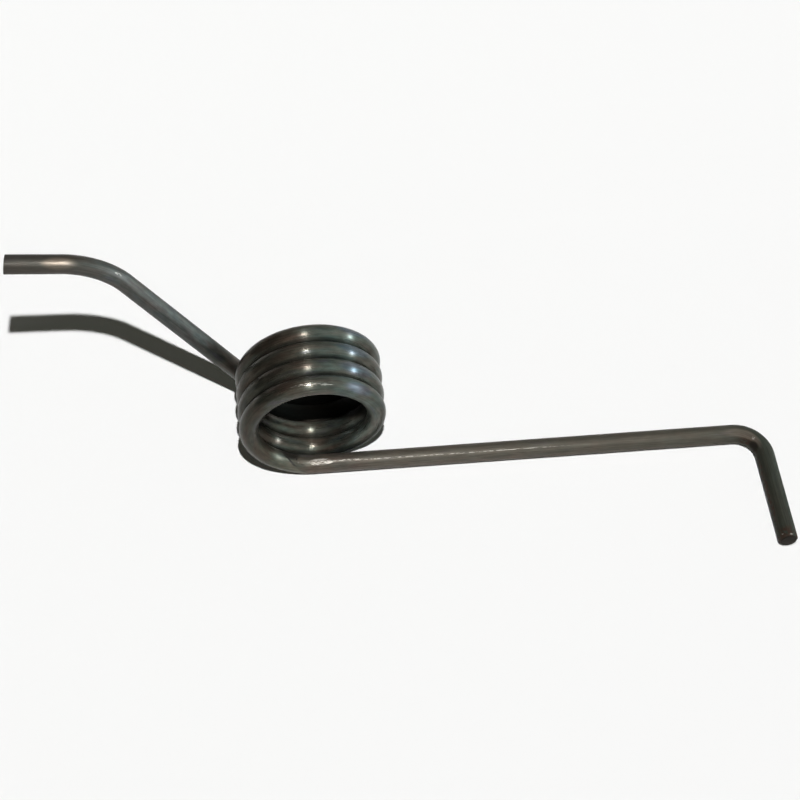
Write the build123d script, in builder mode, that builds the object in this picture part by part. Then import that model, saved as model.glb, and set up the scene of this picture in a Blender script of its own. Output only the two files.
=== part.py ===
from build123d import *
from math import cos, radians, sin, tan
import os

# A torsion spring of round spring wire, lying on its side with the coil's axis level.
# X runs along the long leg, Y is the coil's axis and Z is up. The origin is on the coil's
# axis, halfway along the coil. Lengths are in millimetres and angles in degrees.

# Wire
wire_diameter = 5.0
tip_chamfer = 0.5        # ground edge round the hook's end
shear_angle = 5.0        # how far the short arm's end is cut off square

# Close-wound, right-hand coil
coil_inner_diameter = 28.4
turn_gap = 0.25          # daylight between neighbouring turns
full_turns = 4
long_leg_break = 10.0    # where the coil starts, round from its lowest point
short_arm_rise = 60.0    # where the coil ends, as far round again after the full turns

# Long leg, straight and level, with a hook that turns towards the front
break_inner_radius = 5.5
long_leg_length = 110.2
hook_inner_radius = 5.6
hook_angle = 84.5
hook_length = 26.0

# Short arm, which rises and then bends outwards to an almost level end
short_arm_length = 54.5
arm_bend_inner_radius = 18.0
arm_bend_angle = 52.0
arm_end_length = 13.5

# Worked out from the above
wire_radius = wire_diameter / 2
coil_radius = coil_inner_diameter / 2 + wire_radius
coil_pitch = wire_diameter + turn_gap
coil_length = coil_pitch * (full_turns + (short_arm_rise - long_leg_break) / 360)
shear_allowance = wire_radius * tan(radians(shear_angle))

FRONT = Vector(0, -1, 0)
UP = Vector(0, 0, 1)


def square_to(heading, direction):
    """The share of a direction that is square to a heading, at unit length."""
    return (direction - heading * heading.dot(direction)).normalized()


def straight(start, heading, length):
    """A straight run of the wire's centre line."""
    return Line(start, start + heading * length)


def bend(start, heading, side, inner_radius, angle):
    """A bend of the wire's centre line, from a heading towards the side square to it."""
    radius = inner_radius + wire_radius
    along = heading * radius * sin(radians(angle))
    across = side * radius * (1 - cos(radians(angle)))
    return TangentArc(start, start + along + across, tangent=heading)


def wind_coil():
    """The coil's helix, laid down along Y and started at the long leg's break."""
    start_angle = radians(long_leg_break)
    start_side = (-sin(start_angle), 0, -cos(start_angle))
    laid_down = Plane(origin=(0, 0, 0), x_dir=start_side, z_dir=(0, 1, 0))
    with BuildLine() as upright:
        Helix(coil_pitch, coil_length, coil_radius, center=(0, 0, -coil_length / 2))
    return upright.edge().moved(laid_down.location)


def run_long_leg(coil):
    """Runs of the long leg and its hook, from the coil's front end outwards."""
    leaving = coil % 0 * -1
    with BuildLine() as line:
        level_out = bend(coil @ 0, leaving, square_to(leaving, UP),
                         break_inner_radius, leaving.get_angle(UP) - 90)
        leg = straight(level_out @ 1, level_out % 1, long_leg_length)
        corner = bend(leg @ 1, leg % 1, square_to(leg % 1, FRONT), hook_inner_radius, hook_angle)
        straight(corner @ 1, corner % 1, hook_length)
    return line.edges()


def run_short_arm(coil):
    """Runs of the short arm, from the coil's rear end outwards."""
    leaving = coil % 1
    outwards = Vector((coil @ 1).X, 0, (coil @ 1).Z).normalized()
    with BuildLine() as line:
        riser = straight(coil @ 1, leaving, short_arm_length)
        elbow = bend(riser @ 1, leaving, square_to(leaving, outwards),
                     arm_bend_inner_radius, arm_bend_angle)
        straight(elbow @ 1, elbow % 1, arm_end_length + shear_allowance)
    return line.edges()


def quartered_round(run):
    """The wire's round section in quarters, which a long helix turns into far fewer facets."""
    outwards = Vector((run @ 0).X, 0, (run @ 0).Z).normalized()
    section_plane = Plane(origin=run @ 0, x_dir=outwards, z_dir=run % 0)
    quarters = [Edge.make_circle(wire_radius, section_plane, start_angle=middle - 45,
                                 end_angle=middle + 45) for middle in [0, 90, 180, 270]]
    return Face(Wire(quarters))


def shear_cut(last_run):
    """The plane of the shear cut near the end of a run, tilted so that the front side is longer."""
    heading = last_run % 1
    return Plane(origin=last_run @ 1 - heading * shear_allowance,
                 z_dir=heading.rotate(Axis.Z, -shear_angle))


coil = wind_coil()
long_leg = run_long_leg(coil)
short_arm = run_short_arm(coil)

with BuildPart() as torsion_spring:
    sweep(quartered_round(coil), path=coil, is_frenet=True)
    for run in [*long_leg, *short_arm]:
        with BuildSketch(Plane(origin=run @ 0, z_dir=run % 0)):
            Circle(wire_radius)
        sweep(path=run)

    hook_rim = edges().filter_by(GeomType.CIRCLE).sort_by(Axis.Y)[0]
    chamfer(hook_rim, tip_chamfer)
    split(bisect_by=shear_cut(short_arm[-1]), keep=Keep.BOTTOM)

torsion_spring.part.label = "torsion_spring"

os.makedirs("parts", exist_ok=True)
export_step(torsion_spring.part, "parts/torsion_spring.step")
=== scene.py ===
from itertools import accumulate
from math import cos, pi, radians, sin, tau

import bpy
from mathutils import Matrix, Vector


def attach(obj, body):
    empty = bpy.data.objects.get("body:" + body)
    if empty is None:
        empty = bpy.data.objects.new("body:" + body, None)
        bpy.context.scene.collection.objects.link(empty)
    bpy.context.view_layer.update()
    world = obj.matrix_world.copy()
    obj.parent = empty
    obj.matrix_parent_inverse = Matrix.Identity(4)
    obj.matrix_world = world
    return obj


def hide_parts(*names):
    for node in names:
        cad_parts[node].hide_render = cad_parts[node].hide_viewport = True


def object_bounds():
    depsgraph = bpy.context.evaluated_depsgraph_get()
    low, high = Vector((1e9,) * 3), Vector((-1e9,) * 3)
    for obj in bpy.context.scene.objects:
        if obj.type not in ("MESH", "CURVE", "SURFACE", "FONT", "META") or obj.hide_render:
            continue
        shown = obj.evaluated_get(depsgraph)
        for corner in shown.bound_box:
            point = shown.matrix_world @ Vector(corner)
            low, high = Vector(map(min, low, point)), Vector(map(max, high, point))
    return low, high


# The looks of the torsion spring: its wire, the table that it lies on, the lamps and the camera.
# Lengths are in metres and angles in degrees, unless a comment says otherwise, in the frame of
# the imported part: X runs along the long leg, Y is the coil's axis and Z is up.

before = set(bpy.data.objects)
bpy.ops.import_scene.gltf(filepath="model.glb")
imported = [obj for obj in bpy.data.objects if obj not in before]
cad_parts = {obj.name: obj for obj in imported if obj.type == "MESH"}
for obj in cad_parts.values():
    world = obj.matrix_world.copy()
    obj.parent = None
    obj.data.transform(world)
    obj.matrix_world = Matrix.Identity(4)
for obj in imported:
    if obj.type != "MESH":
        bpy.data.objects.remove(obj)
cad_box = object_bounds()

MM = 0.001
UP = Vector((0, 0, 1))
FRONT = Vector((0, -1, 0))

# Wire, as in the part's source
wire_radius = 2.5 * MM
tip_chamfer = 0.5 * MM
shear_angle = 5.0

coil_radius = 14.2 * MM + wire_radius
coil_pitch = 5.25 * MM
full_turns = 4
long_leg_break = 10.0
short_arm_rise = 60.0

break_inner_radius = 5.5 * MM
long_leg_length = 110.2 * MM
hook_inner_radius = 5.6 * MM
hook_angle = 84.5
hook_length = 26.0 * MM

short_arm_length = 54.5 * MM
arm_bend_inner_radius = 18.0 * MM
arm_bend_angle = 52.0
arm_end_length = 13.5 * MM

# Mesh
skin_radius = wire_radius - 0.03 * MM   # keeps the smooth skin inside the faceted CAD box
ring_spacing = 0.45 * MM
ring_sides = 48
face_rings = [0.08, 0.3, 0.55, 0.8, 1.0]    # shares of an end face's radius
tip_clear = 1.5 * tip_chamfer               # from the hook's tip to the wire's first plain ring
end_clear = 0.5 * MM                        # from its last plain ring to the short arm's end
edge_angle = 30.0

# Camera, which looks down at the coil from in front
camera_place = Vector((0.01686, -0.33412, 0.50584))
camera_azimuth = 1.077
camera_elevation = 56.931
camera_roll = -5.647
camera_lens = 104.71        # millimetres

# Steel along the wire. Each value holds at a distance in millimetres from the hook's tip.
steel_colours = [(0, (0.042, 0.041, 0.035)), (30, (0.042, 0.041, 0.035)),
                 (42, (0.088, 0.075, 0.066)), (140, (0.104, 0.084, 0.076)),
                 (156, (0.078, 0.077, 0.070)), (590, (0.078, 0.077, 0.070)),
                 (600, (0.052, 0.049, 0.041)), (612, (0.056, 0.058, 0.056)),
                 (645, (0.066, 0.066, 0.062)), (655, (0.058, 0.054, 0.048)),
                 (671, (0.056, 0.053, 0.047))]
# Roughness, and how far a highlight is drawn out across the wire
steel_gloss = [(0, (0.78, 0.0)), (40, (0.70, 0.0)), (100, (0.59, 0.1)), (138, (0.52, 0.3)),
               (175, (0.31, 0.91)), (204, (0.31, 0.91)), (210, (0.46, 0.75)),
               (219, (0.46, 0.75)), (226, (0.31, 0.91)), (585, (0.31, 0.91)),
               (605, (0.55, 0.4)), (648, (0.55, 0.4)), (654, (0.35, 0.65)),
               (659, (0.35, 0.65)), (663, (0.50, 0.4)), (671, (0.50, 0.4))]
# How strongly the steel is stained
stain_shares = [(0, 0.3), (125, 0.3), (160, 1.0), (600, 1.0), (615, 0.75), (648, 0.6),
                (656, 0.25), (671, 0.25)]
steel_metallic = 0.78

# Tints, which colours are multiplied by: painted shade and light across the coil, darker and
# warmer on its left side and lighter and cooler on its right; of the stains by their grain; and
# where the steel is stained least, where a painted reflection brightens it, and where a painted
# bluish halo lies round the window lamp's highlights
# Painted shade and light across the coil: darker and warmer to the left, lighter and cooler to the
# right
painted_side_shade = [(0.0, (0.40, 0.37, 0.31)), (0.08, (0.66, 0.62, 0.54)), (0.28, (1.0, 0.94, 0.86)),
              (0.55, (1.08, 1.04, 0.97)), (0.78, (0.86, 0.94, 0.91)), (1.0, (1.02, 1.12, 1.06))]
stain_tints = [(0.32, (1.10, 0.90, 0.84)), (0.45, (1.05, 0.99, 0.95)), (0.54, (0.96, 1.03, 0.98)),
               (0.62, (0.90, 1.03, 1.04)), (0.70, (0.98, 1.0, 1.22))]
plain_tint = (1.04, 0.99, 0.94, 1)
# A painted reflection, which brightens the coil's front end up to the step
front_reflection_tint = (1.5, 1.5, 1.46, 1)
# A painted bluish halo round the window lamp's highlights
window_halo_tint = (0.90, 0.98, 1.30, 1)
no_tint = (1, 1, 1, 1)

# Grains: size across the wire and along it, in millimetres, and detail
stain_grain = (1.9, 7, 3.0)
patch_grain = (1.1, 2.6, 4.0)
streak_grain = (0.3, 9, 3.0)
gloss_grain = (0.35, 9, 3.0)
line_grain = (0.4, 14, 3.0)
pit_grain = (0.3, 0.5, 2.0)
speck_grain = (0.7, 1.2, 3.0)
scuff_and_glint_grain = (0.17, 1.0, 2.0)
scuff_glint_grain = (0.25, 0.6, 2.0)

# Levels: a grain's noise from the first to the second becomes a number from nought to one, or
# from the third to the fourth
patch_levels = (0.35, 0.65, 0.82, 1.18)
streak_levels = (0.3, 0.7, 0.84, 1.16)
gloss_levels = (0.3, 0.7, -0.05, 0.05)
speck_levels = (0.42, 0.56)
scuff_and_glint_levels = (0.43, 0.58)
scuff_glint_levels = (0.40, 0.54)

# Fine lines and pits in the shading
line_depth = 0.014 * MM
pit_share = 0.12            # of the lines' depth

# Marks: distance in millimetres from the hook's tip, angle round the wire, and half the mark's
# size in millimetres across the wire and along it
# Scuffs and scratches, with painted glints at the hook's tip and corner, at the step and on the
# short arm's elbow, and painted highlight streaks on the front turn and along the long leg
scuffs_and_glints = [(146.2, -20, 1.2, 3.6), (139.0, -21, 0.3, 6), (128.0, -27, 0.2, 12),
                   (104.0, -29, 0.14, 30), (197.6, -151, 0.28, 2.6), (200.6, -145, 0.22, 4),
                   (203.2, -137, 0.24, 2.6), (152.7, -27, 0.24, 0.4), (643.6, 58, 0.4, 1.2),
                   (0.7, 12, 0.9, 0.28), (1.2, -40, 0.5, 0.28), (31.3, -18, 0.5, 0.6)]
scuff_and_glint_colour = (0.42, 0.39, 0.35, 1)
# Painted glints on the scuffed patch where the long leg leaves the coil
scuff_glint_spots = [(144.0, -26, 0.5, 1.5), (146.3, -8, 0.22, 2.4), (147.4, -34, 0.3, 1.5)]
scuff_glint_colour = (0.54, 0.51, 0.46, 1)
# Lighter patches along the short arm
pale_arm_spots = [(628.0, 56, 1.6, 26), (611.0, 48, 1.7, 7)]
pale_arm_colour = (0.100, 0.104, 0.099, 1)
# Painted highlights on the short arm's end and on the hook's corner
painted_highlight_spots = [(657.8, 48, 2.0, 5), (34.5, -20, 1.6, 8)]
painted_highlight_colour = (0.125, 0.108, 0.090, 1)
# Painted bluish halos round the window lamp's highlights on the coil's turns
window_halo_spots = [(212.0, -142, 2.0, 5), (317.0, -140, 2.4, 6), (422.0, -140, 2.4, 6),
              (527.0, -140, 2.4, 6)]
# Rust at the hook's tip, and dark brown patches along the hook's side, inside its corner and where
# the short arm leaves the coil
rust_and_dark_spots = [(0.5, 0, 5, 3.4), (14.0, -64, 1.1, 15), (31.0, -70, 1.7, 6), (589.0, 30, 2.2, 4)]
rust_and_dark_colour = (0.050, 0.030, 0.021, 1)
# Dark marks: a scratch on the rear turn, tool marks by the step, the hook's end face and a dark
# patch inside the hook's corner; and painted shade in the crease where the long leg leaves the
# coil, beside the second turn
dark_marks_and_shade = [(155.2, 27, 2.1, 3.8), (153.3, -5, 0.5, 0.35), (151.2, -38, 0.14, 0.9),
              (520.0, -146, 0.14, 4), (0.0, 0, 5, 0.4), (29.5, -58, 1.8, 2.6)]
dark_colour = (0.02, 0.016, 0.012, 1)
spot_edge = (1.0, 0.5)      # shares of a mark's size between which it fades in

# Step that the bending tool left where the long leg leaves the coil. Its edge slants across the
# wire: the distance along the wire at angle nought, in millimetres, and how much that grows with
# each degree.
step_run = 156.9
step_slant = 0.065
step_depth = 0.3 * MM
step_wall = 0.5 * MM
step_length = 9 * MM
step_angle = -20.0
step_half_angle = 38.0

# Where one look gives way to another: it starts at the first number and is full at the second
arm_look = (588 * MM, 598 * MM)             # along the wire
front_reflection_from_step = (-0.2 * MM, 0.5 * MM)    # past the step
front_reflection_from_coil = (186 * MM, 164 * MM)     # along the wire
step_darkening = (0.8 * MM, 0.2 * MM)            # off the step's edge
step_darkening_angles = (step_half_angle, 0.6 * step_half_angle)     # off the step's angle

# The rear turns' inner sides, which are painted dark as shade and made more matt
inner_side = (coil_radius + 0.3 * MM, coil_radius - 1.2 * MM)   # from the coil's axis
rear_part = (1.2 * MM, 3.0 * MM)            # along the coil's axis
rear_lean = 0.4                             # how far it comes forward with distance to the right
# Painted shade on the rear turns' inner sides
inner_shade_tint = (0.07, 0.068, 0.055, 1)
inner_matt = 0.4                            # added to the roughness

# Surroundings
table_size = 6.0
table_white = (0.95, 0.95, 0.95)
key_place = (0.062, -0.342, 0.816)
key_watts = 36.2
gleam_watts = 15.5
key_radius = 0.007
even_reach = 0.93            # from the key lamp to where the table is as white as its colour
light_falloff = 3.0          # power of that distance by which the lamp's light on the table falls
window_place = (1.41, -0.30, 0.40)
window_size = 0.07
window_watts = 11.5
window_colour = (0.80, 0.90, 1)
window_direction = (0.95, -0.25, 0.18)
fill_colour = (0.052, 0.053, 0.044, 1)
horizon_colour = (0.95, 0.95, 0.95, 1)
horizon_heights = (0.04, 0.09)      # of a line of sight, between which it gives way to the room
room_colours = [(0.15, (0.01, 0.01, 0.01)), (0.30, (0.10, 0.07, 0.05)), (0.50, (0.42, 0.38, 0.33)),
                (0.75, (0.55, 0.57, 0.54)), (0.88, (0.80, 0.92, 0.92)), (1.0, (1.2, 1.45, 1.45))]


def square_to(heading, direction):
    """The share of a direction that is square to a heading, at unit length."""
    return (direction - heading * heading.dot(direction)).normalized()


# The wire's centre line: each run is a list of stations, which are a place and a heading.

def straight(start, heading, length):
    """Stations along a straight run."""
    count = max(1, round(length / ring_spacing))
    return [(start + heading * (length * i / count), heading) for i in range(count + 1)]


def bend(start, heading, side, inner_radius, angle):
    """Stations round a bend, from a heading towards the side square to it."""
    radius = inner_radius + wire_radius
    count = max(1, round(radius * radians(angle) / ring_spacing))
    turns = [radians(angle) * i / count for i in range(count + 1)]
    return [(start + heading * (radius * sin(turn)) + side * (radius * (1 - cos(turn))),
             heading * cos(turn) + side * sin(turn)) for turn in turns]


def wind_coil():
    """Stations along the coil, from the long leg's break to where the short arm rises."""
    start = radians(long_leg_break)
    sweep = tau * full_turns + radians(short_arm_rise - long_leg_break)
    climb = coil_pitch / tau
    count = round(coil_radius * sweep / ring_spacing)
    stations = []
    for i in range(count + 1):
        turned = sweep * i / count
        angle = start + turned
        place = Vector((-coil_radius * sin(angle), climb * (turned - sweep / 2),
                        -coil_radius * cos(angle)))
        heading = Vector((-coil_radius * cos(angle), climb, coil_radius * sin(angle)))
        stations.append((place, heading.normalized()))
    return stations


def run_long_leg(coil):
    """Stations of the long leg and its hook, from the coil's front end outwards."""
    place, leaving = coil[0][0], -coil[0][1]
    dip = leaving.angle(UP) - pi / 2
    level_out = bend(place, leaving, square_to(leaving, UP), break_inner_radius, dip * 180 / pi)
    leg = straight(*level_out[-1], long_leg_length)
    corner = bend(*leg[-1], square_to(leg[-1][1], FRONT), hook_inner_radius, hook_angle)
    hook = straight(*corner[-1], hook_length)
    return level_out[1:] + leg[1:] + corner[1:] + hook[1:]


def run_short_arm(coil):
    """Stations of the short arm, from the coil's rear end outwards."""
    place, leaving = coil[-1]
    outwards = Vector((place.x, 0, place.z)).normalized()
    riser = straight(place, leaving, short_arm_length)
    elbow = bend(*riser[-1], square_to(leaving, outwards), arm_bend_inner_radius, arm_bend_angle)
    end = straight(*elbow[-1], arm_end_length)
    return riser[1:] + elbow[1:] + end[1:]


def whole_wire():
    """Stations of the whole wire, from the hook's tip to the short arm's end."""
    coil = wind_coil()
    hook_first = [(place, -heading) for place, heading in reversed(run_long_leg(coil))]
    return hook_first + coil + run_short_arm(coil)


# The wire's mesh

def ring_frames(stations):
    """Two directions across the wire at each station, which turn with it and don't twist."""
    across = square_to(stations[0][1], UP)
    frames = []
    for _, heading in stations:
        across = square_to(heading, across)
        frames.append((across, heading.cross(across)))
    return frames


def distances(stations):
    """Distance of each station from the hook's tip, along the wire."""
    places = [place for place, _ in stations]
    steps = [(after - before).length for before, after in zip(places, places[1:])]
    return [0.0, *accumulate(steps)]


def step_down(run, turn):
    """How deep the bending tool's step is at a point on the wire."""
    angle = (turn * 180 / pi - step_angle + 180) % 360 - 180
    past_edge = (step_run + step_slant * (angle + step_angle)) * MM - run
    along = min(past_edge / step_wall, (step_length - past_edge) / (step_length - step_wall))
    return step_depth * max(0.0, along) * max(0.0, 1 - (angle / step_half_angle) ** 2)


def ring(place, directions, radius, run):
    """Points round the wire. Each is a place, the same place on the wire when straight, and the
    direction round the wire there."""
    across, square = directions
    points = []
    for side in range(ring_sides):
        turn = tau * side / ring_sides
        depth = step_down(run, turn)
        outwards = across * cos(turn) + square * sin(turn)
        onwards = square * cos(turn) - across * sin(turn)
        drawn = Vector((radius * cos(turn), radius * sin(turn), run))
        points.append((place + outwards * (radius - depth), drawn, onwards))
    return points


def hook_tip(stations, frames):
    """Rings over the hook's end, out from the middle of its face and over the chamfer."""
    place, heading = stations[0]
    face_radius = skin_radius - tip_chamfer
    rings = [ring(place, frames[0], face_radius * share, 0.0) for share in face_rings]
    shoulder = place + heading * tip_chamfer
    return rings + [ring(shoulder, frames[0], skin_radius, tip_chamfer)]


def sheared_end(stations, frames, run):
    """Rings over the short arm's end, in to the middle of its slanting face."""
    place, heading = stations[-1]
    slant = Matrix.Rotation(radians(-shear_angle), 3, "Z") @ heading
    rings = []
    for share in reversed(face_rings):
        points = ring(place, frames[-1], skin_radius * share, run)
        rings.append([(point - heading * ((point - place).dot(slant) / heading.dot(slant)),
                       drawn, onwards) for point, drawn, onwards in points])
    return rings


def wire_rings(stations):
    """All the rings of the wire's skin, from the middle of one end face to the other's."""
    frames = ring_frames(stations)
    runs = distances(stations)
    rings = hook_tip(stations, frames)
    for (place, _), directions, run in zip(stations, frames, runs):
        if tip_clear < run < runs[-1] - end_clear:
            rings.append(ring(place, directions, skin_radius, run))
    return rings + sheared_end(stations, frames, runs[-1])


def ring_faces(count):
    """Faces between one ring and the next, and one over each end."""
    faces = []
    for low in range(0, (count - 1) * ring_sides, ring_sides):
        for side in range(ring_sides):
            after = (side + 1) % ring_sides
            faces.append((low + side, low + after, low + ring_sides + after,
                          low + ring_sides + side))
    last = (count - 1) * ring_sides
    return faces + [tuple(reversed(range(ring_sides))), tuple(range(last, last + ring_sides))]


def spring_wire(stations):
    """The wire as one closed mesh, with two attributes. drawn_wire is the same point on the wire
    when straight: X and Y are across it and Z is the distance from the hook's tip. round_wire is
    the direction round the wire."""
    rings = wire_rings(stations)
    places, drawn, onwards = zip(*(point for points in rings for point in points))
    mesh = bpy.data.meshes.new("spring_wire")
    mesh.from_pydata(places, [], ring_faces(len(rings)))
    mesh.shade_smooth()
    mesh.set_sharp_from_angle(angle=radians(edge_angle))
    for name, values in (("drawn_wire", drawn), ("round_wire", onwards)):
        made = mesh.attributes.new(name, "FLOAT_VECTOR", "POINT")
        made.data.foreach_set("vector", [number for value in values for number in value])
    skin = bpy.data.objects.new("spring_wire", mesh)
    bpy.context.scene.collection.objects.link(skin)
    return skin


# Materials

def feed(tree, node, inputs):
    """Give a node its inputs, as numbers or as sockets to link."""
    for name, value in inputs.items():
        if isinstance(value, bpy.types.NodeSocket):
            tree.links.new(value, node.inputs[name])
        else:
            node.inputs[name].default_value = value


def add_node(tree, kind, inputs, **settings):
    """A node, with its settings and inputs."""
    made = tree.nodes.new(kind)
    for name, value in settings.items():
        setattr(made, name, value)
    feed(tree, made, inputs)
    return made


def new_material(name):
    """A material, its node tree and its shader."""
    material = bpy.data.materials.new(name)
    material.use_nodes = True
    return material, material.node_tree, material.node_tree.nodes["Principled BSDF"]


def maths(tree, operation, *inputs):
    """The number that an operation makes of numbers."""
    made = add_node(tree, "ShaderNodeMath", dict(enumerate(inputs)), operation=operation)
    return made.outputs[0]


def vectors(tree, operation, first, second):
    """The vector, colour or number that an operation makes of two vectors or colours."""
    made = add_node(tree, "ShaderNodeVectorMath", {0: first, 1: second}, operation=operation)
    return made.outputs["Value" if operation in ("DISTANCE", "DOT_PRODUCT") else "Vector"]


def attribute(tree, name):
    """A vector that the mesh holds."""
    return add_node(tree, "ShaderNodeAttribute", {}, attribute_name=name).outputs["Vector"]


def place_in_frame(tree):
    """The shaded point's place."""
    return add_node(tree, "ShaderNodeNewGeometry", {}).outputs["Position"]


def axis(tree, vector, name):
    """A vector's X, Y or Z."""
    return add_node(tree, "ShaderNodeSeparateXYZ", {0: vector}).outputs[name]


def rise(tree, value, start, end, low=0.0, high=1.0):
    """A number that goes smoothly from low to high as a value goes from start to end."""
    limits = {"Value": value, "From Min": start, "From Max": end, "To Min": low, "To Max": high}
    return add_node(tree, "ShaderNodeMapRange", limits,
                    interpolation_type="SMOOTHSTEP").outputs["Result"]


def ramp(tree, factor, stops):
    """A colour that runs through stops, which are (place from 0 to 1, colour)."""
    made = add_node(tree, "ShaderNodeValToRGB", {"Fac": factor})
    elements = made.color_ramp.elements
    while len(elements) < len(stops):
        elements.new(0.5)
    for element, (place, colour) in zip(elements, stops):
        element.position = place
        element.color = (*colour, 1)
    return made.outputs["Color"]


def blend(tree, share, first, second):
    """The first colour, giving way to the second as the share goes from 0 to 1."""
    made = add_node(tree, "ShaderNodeMix", {"Factor": share, "A": first, "B": second},
                    data_type="RGBA")
    return made.outputs["Result"]


def grain(tree, drawn, across, along, detail):
    """Noise on the drawn wire, with grains of the given sizes in millimetres."""
    scale = (1 / (across * MM), 1 / (across * MM), 1 / (along * MM))
    made = add_node(tree, "ShaderNodeTexNoise", {"Vector": vectors(tree, "MULTIPLY", drawn, scale),
                                                 "Scale": 1.0, "Detail": detail})
    return made.outputs["Fac"]


def spot(tree, drawn, run, angle, across, along):
    """One on a mark, and nought beyond its edge, which is soft."""
    centre = (wire_radius * cos(radians(angle)), wire_radius * sin(radians(angle)), run * MM)
    scale = (1 / (across * MM), 1 / (across * MM), 1 / (along * MM))
    offset = vectors(tree, "MULTIPLY", vectors(tree, "SUBTRACT", drawn, centre), scale)
    return rise(tree, vectors(tree, "DISTANCE", offset, (0, 0, 0)), *spot_edge)


def any_spot(tree, drawn, spots):
    """One on any of several marks."""
    shares = [spot(tree, drawn, *place) for place in spots]
    while len(shares) > 1:
        shares.append(maths(tree, "MAXIMUM", shares.pop(0), shares.pop(0)))
    return shares[0]


def broken_spots(tree, drawn, spots, grains, levels):
    """One on the flecks that a grain leaves of several marks."""
    flecks = rise(tree, grain(tree, drawn, *grains), *levels)
    return maths(tree, "MULTIPLY", flecks, any_spot(tree, drawn, spots))


def along_wire(tree, run, stops):
    """A colour that runs through stops, which are (millimetres from the hook's tip, colour)."""
    share = maths(tree, "DIVIDE", run, wire_length)
    return ramp(tree, share, [(stop * MM / wire_length, colour) for stop, colour in stops])


def inner_shade_mask(tree):
    """One on the rear turns' inner sides, where dark shade is painted, and nought elsewhere."""
    place = place_in_frame(tree)
    from_axis = vectors(tree, "DISTANCE", vectors(tree, "MULTIPLY", place, (1, 0, 1)), (0, 0, 0))
    to_right = maths(tree, "MAXIMUM", axis(tree, place, "X"), 0.0)
    rearwards = maths(tree, "MULTIPLY_ADD", to_right, rear_lean, axis(tree, place, "Y"))
    return maths(tree, "MULTIPLY", rise(tree, from_axis, *inner_side),
                 rise(tree, rearwards, *rear_part))


def coil_painted_shade(tree, run, inside):
    """The coil's painted shade and light: darker and warmer to its left, lighter and cooler to its
    right, and dark on the rear turns' inner sides.
    """
    sideways = rise(tree, axis(tree, place_in_frame(tree), "X"), -coil_radius, coil_radius)
    tint = blend(tree, inside, ramp(tree, sideways, painted_side_shade), inner_shade_tint)
    return blend(tree, rise(tree, run, *arm_look), tint, no_tint)


def stain_tint(tree, drawn, run):
    """The tint of the steel's stains and streaks."""
    stains = ramp(tree, grain(tree, drawn, *stain_grain), stain_tints)
    patches = rise(tree, grain(tree, drawn, *patch_grain), *patch_levels)
    strength = along_wire(tree, run, [(stop, (share,) * 3) for stop, share in stain_shares])
    tint = blend(tree, strength, plain_tint, vectors(tree, "MULTIPLY", stains, patches))
    streaks = rise(tree, grain(tree, drawn, *streak_grain), *streak_levels)
    return vectors(tree, "MULTIPLY", tint, streaks)


def degrees_round(tree, drawn):
    """The angle round the wire."""
    angle = maths(tree, "ARCTAN2", axis(tree, drawn, "Y"), axis(tree, drawn, "X"))
    return maths(tree, "MULTIPLY", angle, 180 / pi)


def past_step(tree, run, degrees):
    """Distance along the wire from the edge of the bending tool's step."""
    edge = maths(tree, "MULTIPLY_ADD", degrees, step_slant * MM, step_run * MM)
    return maths(tree, "SUBTRACT", run, edge)


def step_edge(tree, run, degrees):
    """One along the edge of the bending tool's step, which is darkened there, and nought elsewhere.
    """
    off_edge = maths(tree, "ABSOLUTE", past_step(tree, run, degrees))
    off_angle = maths(tree, "ABSOLUTE", maths(tree, "SUBTRACT", degrees, step_angle))
    return maths(tree, "MULTIPLY", rise(tree, off_edge, *step_darkening),
                 rise(tree, off_angle, *step_darkening_angles))


def painted_front_reflection(tree, run, degrees):
    """One where a painted reflection brightens the coil's front end, up to the step."""
    past = past_step(tree, run, degrees)
    return maths(tree, "MULTIPLY", rise(tree, past, *front_reflection_from_step),
                 rise(tree, run, *front_reflection_from_coil))


def plain_colour(tree, drawn, run, degrees, inside):
    """The steel's colour under its marks, by its place along the wire and on the coil, with painted
    shade and light across the coil, a painted reflection on its front end, painted highlights,
    painted bluish halos and stains.
    """
    colour = along_wire(tree, run, steel_colours)
    colour = vectors(tree, "MULTIPLY", colour, coil_painted_shade(tree, run, inside))
    brighter = blend(tree, painted_front_reflection(tree, run, degrees), no_tint, front_reflection_tint)
    colour = vectors(tree, "MULTIPLY", colour, brighter)
    colour = blend(tree, any_spot(tree, drawn, pale_arm_spots), colour, pale_arm_colour)
    colour = blend(tree, any_spot(tree, drawn, painted_highlight_spots), colour, painted_highlight_colour)
    colour = vectors(tree, "MULTIPLY", colour, stain_tint(tree, drawn, run))
    haloed = blend(tree, any_spot(tree, drawn, window_halo_spots), no_tint, window_halo_tint)
    return vectors(tree, "MULTIPLY", colour, haloed)


def steel_colour(tree, drawn, inside):
    """The steel's colour with its rust and dark patches, scuffs, scratches and dark marks, and with
    painted glints, highlight streaks and shade.
    """
    run = axis(tree, drawn, "Z")
    degrees = degrees_round(tree, drawn)
    colour = plain_colour(tree, drawn, run, degrees, inside)
    rust_and_dark = broken_spots(tree, drawn, rust_and_dark_spots, speck_grain, speck_levels)
    colour = blend(tree, rust_and_dark, colour, rust_and_dark_colour)
    scuffed_and_glinting = broken_spots(tree, drawn, scuffs_and_glints, scuff_and_glint_grain, scuff_and_glint_levels)
    colour = blend(tree, scuffed_and_glinting, colour, scuff_and_glint_colour)
    scuff_glints = broken_spots(tree, drawn, scuff_glint_spots, scuff_glint_grain, scuff_glint_levels)
    colour = blend(tree, scuff_glints, colour, scuff_glint_colour)
    dark = maths(tree, "MAXIMUM", any_spot(tree, drawn, dark_marks_and_shade),
                 step_edge(tree, run, degrees))
    return blend(tree, dark, colour, dark_colour)


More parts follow.
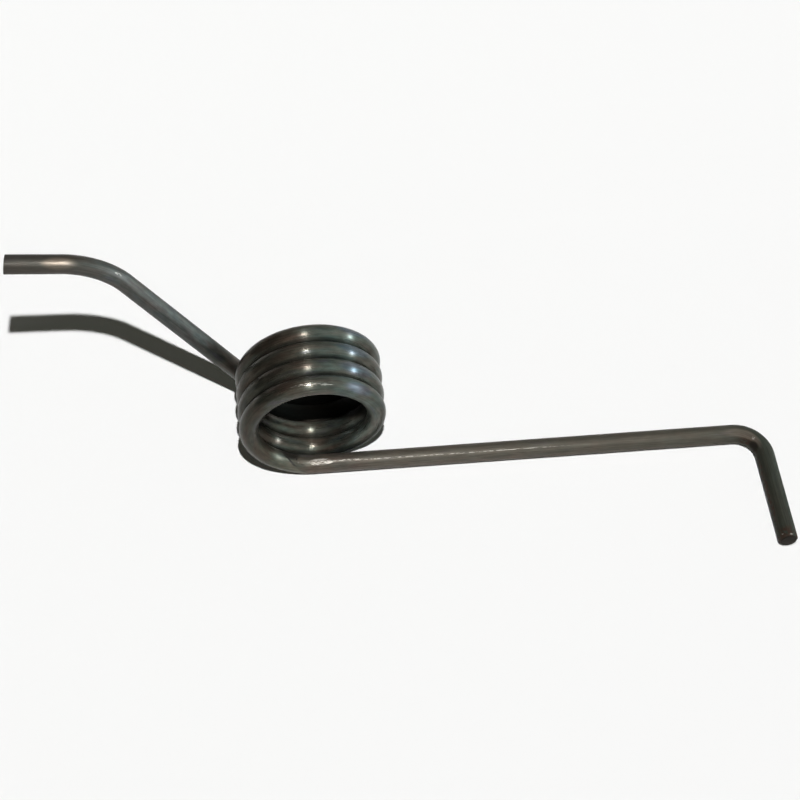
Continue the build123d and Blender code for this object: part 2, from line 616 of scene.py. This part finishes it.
def steel_roughness(tree, drawn, inside, even):
    """The steel's roughness, which is uneven and more on the rear turns' inner sides."""
    uneven = rise(tree, grain(tree, drawn, *gloss_grain), *gloss_levels)
    matt = rise(tree, inside, 0.0, 1.0, 0.0, inner_matt)
    return maths(tree, "ADD", maths(tree, "ADD", even, uneven), matt)


def drawn_lines(tree, drawn):
    """The shading normal over the fine lines that the die leaves along the wire."""
    lines = grain(tree, drawn, *line_grain)
    pits = maths(tree, "MULTIPLY", grain(tree, drawn, *pit_grain), pit_share)
    height = maths(tree, "ADD", lines, pits)
    return add_node(tree, "ShaderNodeBump", {"Height": height, "Strength": 1.0,
                                             "Distance": line_depth}).outputs["Normal"]


def steel():
    """Drawn spring steel, dark and half polished, with stains, scuffs and fine lines, and with
    painted shade, light, highlights, glints and reflections.
    """
    material, tree, shader = new_material("spring_steel")
    drawn = attribute(tree, "drawn_wire")
    inside = inner_shade_mask(tree)
    stops = [(stop, (*values, 0)) for stop, values in steel_gloss]
    gloss = along_wire(tree, axis(tree, drawn, "Z"), stops)
    parts = add_node(tree, "ShaderNodeSeparateColor", {0: gloss}).outputs
    feed(tree, shader, {"Metallic": steel_metallic,
                        "Base Color": steel_colour(tree, drawn, inside),
                        "Roughness": steel_roughness(tree, drawn, inside, parts["Red"]),
                        "Anisotropic": parts["Green"],
                        "Tangent": attribute(tree, "round_wire"),
                        "Normal": drawn_lines(tree, drawn)})
    return material


def white_rays(tree):
    """One for the rays that see the pale surroundings, and nought for those that light the part."""
    rays = add_node(tree, "ShaderNodeLightPath", {}).outputs
    seen = maths(tree, "MAXIMUM", rays["Is Camera Ray"], rays["Is Glossy Ray"])
    return maths(tree, "MAXIMUM", seen, rays["Is Transmission Ray"])


def table_top():
    """A plain pale table. Its colour and a faint glow make up for the key lamp's falling off
    with distance, so that it is evenly white, and a shadow on it stays dark."""
    material, tree, shader = new_material("table_top")
    reach = vectors(tree, "DISTANCE", place_in_frame(tree), key_place)
    light = maths(tree, "POWER", maths(tree, "DIVIDE", even_reach, reach), light_falloff)
    shade = maths(tree, "MINIMUM", maths(tree, "DIVIDE", 1.0, light), 1.0)
    missing = maths(tree, "MAXIMUM", maths(tree, "SUBTRACT", 1.0, light), 0.0)
    feed(tree, shader, {"Roughness": 1.0, "Specular IOR Level": 0.0,
                        "Base Color": vectors(tree, "MULTIPLY", shade, table_white),
                        "Emission Color": (*table_white, 1),
                        "Emission Strength": maths(tree, "MULTIPLY", missing, white_rays(tree))})
    return material


def lay_table():
    """The table, under the spring."""
    bpy.ops.mesh.primitive_plane_add(size=table_size, location=(0, 0, cad_box[0].z))
    table = bpy.context.object
    table.name = "table"
    table.data.materials.append(table_top())


def light_world():
    """A room that is pale at the horizon, bright and cool to the right and dark to the left. It
    shows in the steel and behind it, and what is matt gets an even fill in its place."""
    world = bpy.data.worlds.new("studio")
    bpy.context.scene.world = world
    world.use_nodes = True
    tree = world.node_tree
    sight = add_node(tree, "ShaderNodeTexCoord", {}).outputs["Generated"]
    towards_window = vectors(tree, "DOT_PRODUCT", sight, window_direction)
    room = ramp(tree, rise(tree, towards_window, -1.0, 1.0), room_colours)
    above = rise(tree, axis(tree, sight, "Z"), *horizon_heights)
    seen = blend(tree, above, horizon_colour, room)
    feed(tree, tree.nodes["Background"],
         {"Color": blend(tree, white_rays(tree), fill_colour, seen)})


def hang_lamp(name, data, place):
    """A lamp at a place, which faces the coil."""
    lamp = bpy.data.objects.new(name, data)
    lamp.location = place
    lamp.rotation_mode = "QUATERNION"
    lamp.rotation_quaternion = Vector(place).to_track_quat("Z", "Y")
    bpy.context.scene.collection.objects.link(lamp)
    return lamp


def point_lamp(name, watts):
    """A small lamp in the key lamp's place."""
    data = bpy.data.lights.new(name, "POINT")
    data.energy = watts
    data.shadow_soft_size = key_radius
    return hang_lamp(name, data, key_place)


def key_lamp():
    """The key lamp, as one that lights what is matt and one that shows in the steel."""
    point_lamp("key", key_watts).visible_glossy = False
    point_lamp("key_gleam", gleam_watts).visible_diffuse = False


def window_lamp():
    """A cool lamp to the right, which shows in the steel and casts no second shadow."""
    data = bpy.data.lights.new("window", "AREA")
    data.shape = "DISK"
    data.size = window_size
    data.energy = window_watts
    data.color = window_colour
    hang_lamp("window", data, window_place).visible_diffuse = False


def place_camera():
    """The camera, at the photo's viewing angle."""
    data = bpy.data.cameras.new("camera")
    data.lens = camera_lens
    camera = bpy.data.objects.new("camera", data)
    turn = (Matrix.Rotation(radians(-camera_azimuth), 4, "Z")
            @ Matrix.Rotation(radians(90 - camera_elevation), 4, "X")
            @ Matrix.Rotation(radians(camera_roll), 4, "Z"))
    camera.matrix_world = Matrix.Translation(camera_place) @ turn
    bpy.context.scene.collection.objects.link(camera)
    bpy.context.scene.camera = camera


centre_line = whole_wire()
wire_length = distances(centre_line)[-1]
wire = spring_wire(centre_line)
wire.data.materials.append(steel())
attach(wire, "root")
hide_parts("torsion_spring")

lay_table()
light_world()
key_lamp()
window_lamp()
place_camera()
bpy.context.scene.view_settings.view_transform = "Standard"
